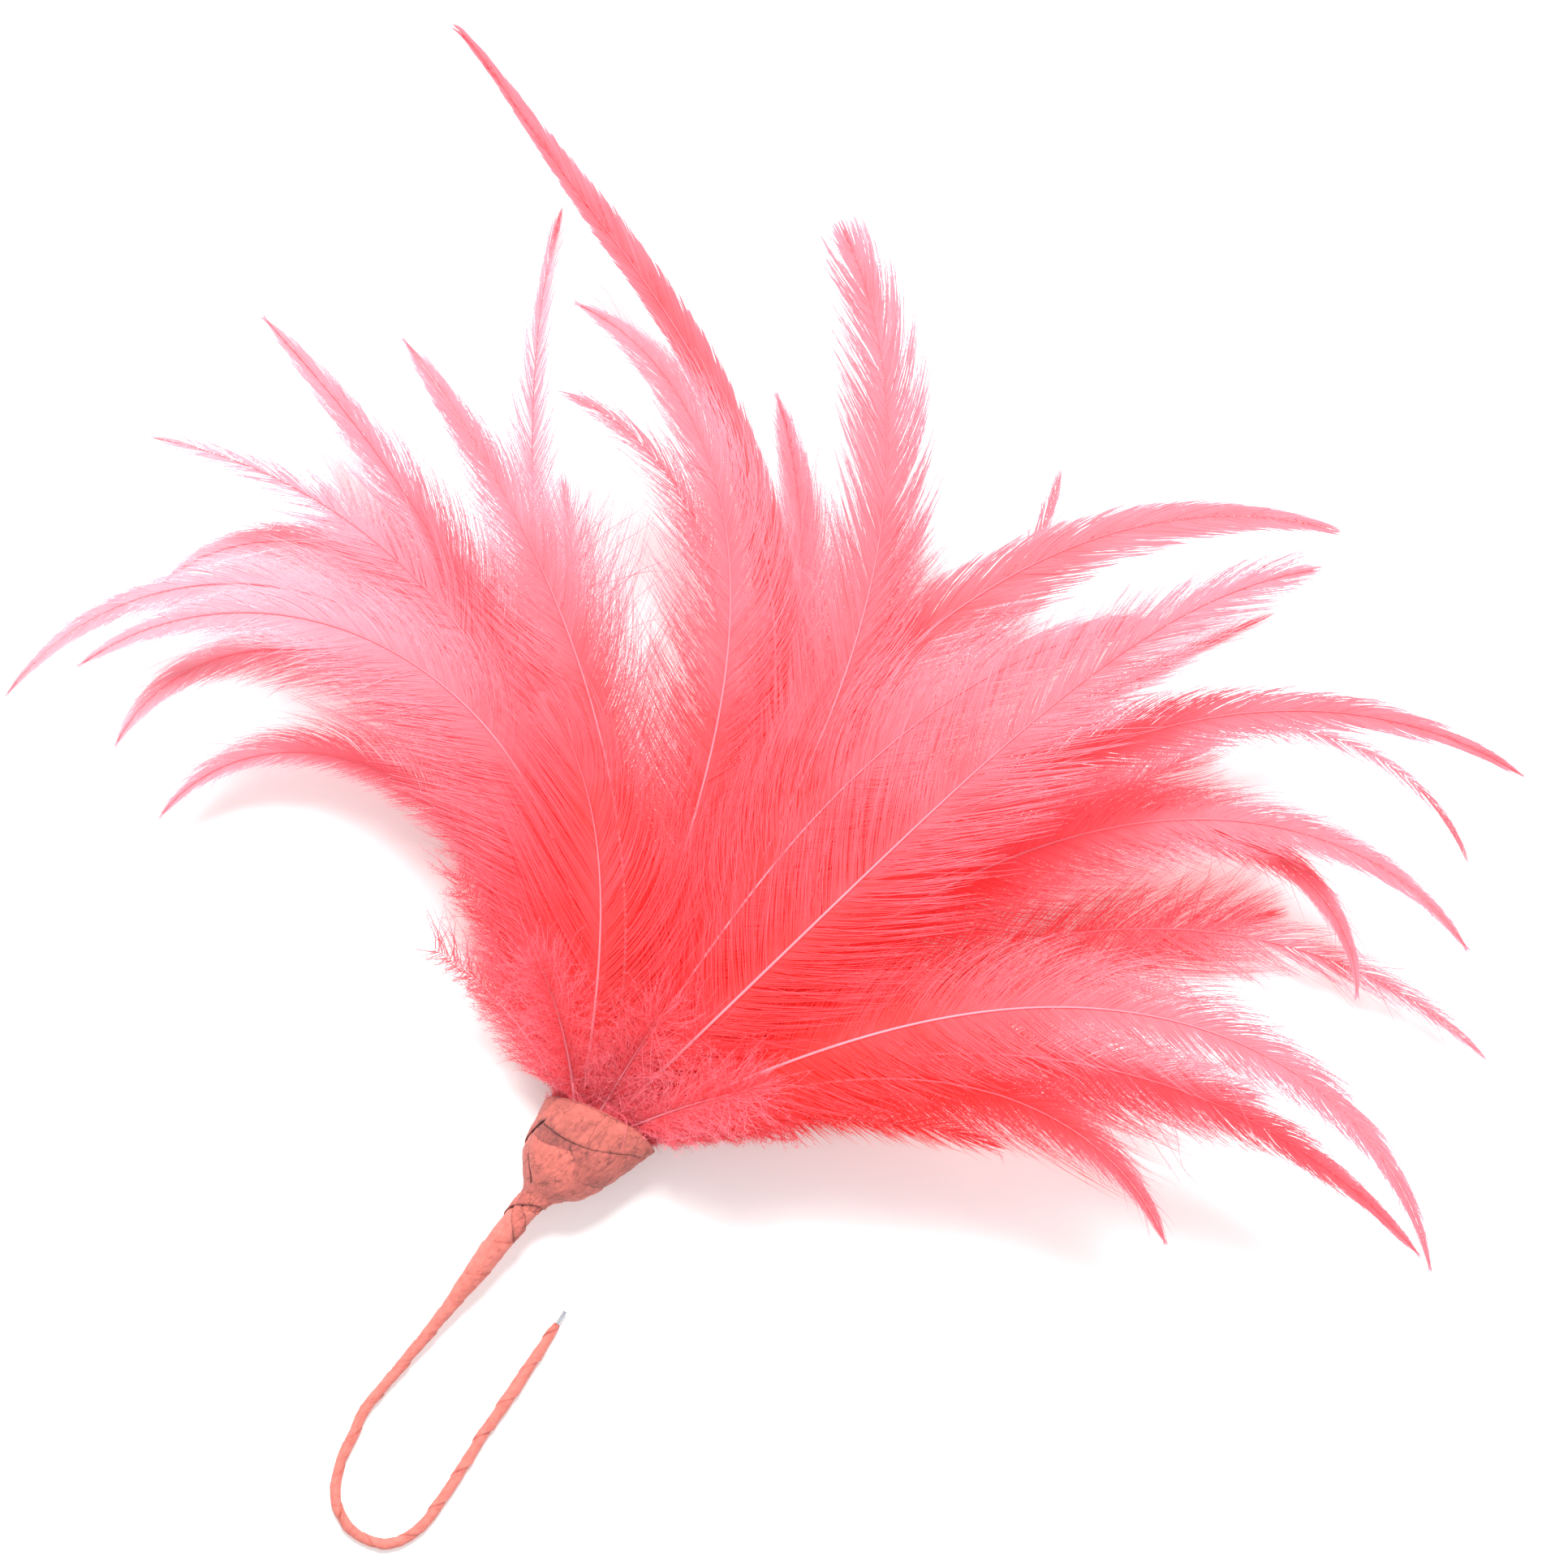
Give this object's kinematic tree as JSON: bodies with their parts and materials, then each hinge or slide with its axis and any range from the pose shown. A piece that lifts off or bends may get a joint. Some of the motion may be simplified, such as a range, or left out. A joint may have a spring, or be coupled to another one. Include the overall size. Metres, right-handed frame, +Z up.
{
  "type": "feather mount",
  "caption": "Spray of dyed cock hackles and down bound in a folded paper knot on a paper-covered bendable wire stem, hooked at the end.",
  "frame": {"origin": "middle of the footprint of the mount lying flat, on the surface that it lies on", "axes": "+Z up from that surface, -Y along the stem from the knot to the hook, +Y out through the spray, +X to the side that the hook turns to"},
  "size_m": [0.234, 0.2149, 0.0573],
  "materials": {
    "hackle": "satin",
    "down": "matte",
    "knot_paper": "matte",
    "stem_tape": "matte",
    "wire": "satin",
    "thread": "matte"
  },
  "bodies": {
    "spray": {"left_hackle_1": "hackle", "left_hackle_2": "hackle", "left_hackle_3": "hackle", "left_hackle_4": "hackle", "left_hackle_5": "hackle", "left_hackle_6": "hackle", "left_hackle_7": "hackle", "left_hackle_8": "hackle", "left_hackle_9": "hackle", "front_curl_hackle": "hackle", "centre_hackle_1": "hackle", "centre_hackle_2": "hackle", "tail_hackle": "hackle", "centre_hackle_3": "hackle", "centre_hackle_4": "hackle", "right_hackle_1": "hackle", "sickle_hackle": "hackle", "right_hackle_2": "hackle", "right_hackle_3": "hackle", "right_hackle_4": "hackle", "right_hackle_5": "hackle", "twisted_hackle": "hackle", "right_hackle_6": "hackle", "right_hackle_7": "hackle", "right_hackle_8": "hackle", "right_hackle_9": "hackle", "right_hackle_10": "hackle", "right_hackle_11": "hackle", "right_hackle_12": "hackle", "down_plume_1": "down", "down_plume_2": "down", "down_plume_3": "down", "down_plume_4": "down", "down_plume_5": "down", "down_plume_6": "down", "down_plume_7": "down", "down_plume_8": "down", "down_plume_9": "down", "top_tuft_1": "down", "top_tuft_2": "down", "top_tuft_3": "down", "paper_cup": "knot_paper", "left_strip": "knot_paper", "front_panel": "knot_paper", "right_fold": "knot_paper", "back_panel": "knot_paper", "collar_strip": "knot_paper", "neck_strap": "knot_paper", "neck_cross_strap": "knot_paper", "binding_thread": "thread", "wire_upper": "wire", "tape_upper": "stem_tape"},
    "shank": {"wire_shank": "wire", "tape_shank": "stem_tape"},
    "hook_bend": {"wire_bend": "wire", "tape_bend": "stem_tape"},
    "hook_tip": {"wire_tip": "wire", "tape_tip": "stem_tape"}
  },
  "joints": [
    {"name": "neck_bend", "type": "hinge", "parent": "spray", "child": "shank", "pos_m": [0.0054, -0.0679, 0.0042], "axis": [0, 0, 1], "range_deg": [-45, 45]},
    {"name": "hook_open", "type": "hinge", "parent": "shank", "child": "hook_bend", "pos_m": [0.0089, -0.1024, 0.0009], "axis": [0, 0, -1], "range_deg": [0, 90]},
    {"name": "hook_open_far", "type": "hinge", "parent": "hook_bend", "child": "hook_tip", "pos_m": [0.0216, -0.1038, 0.0009], "axis": [0, 0, -1], "range_deg": [0, 90]}
  ]
}
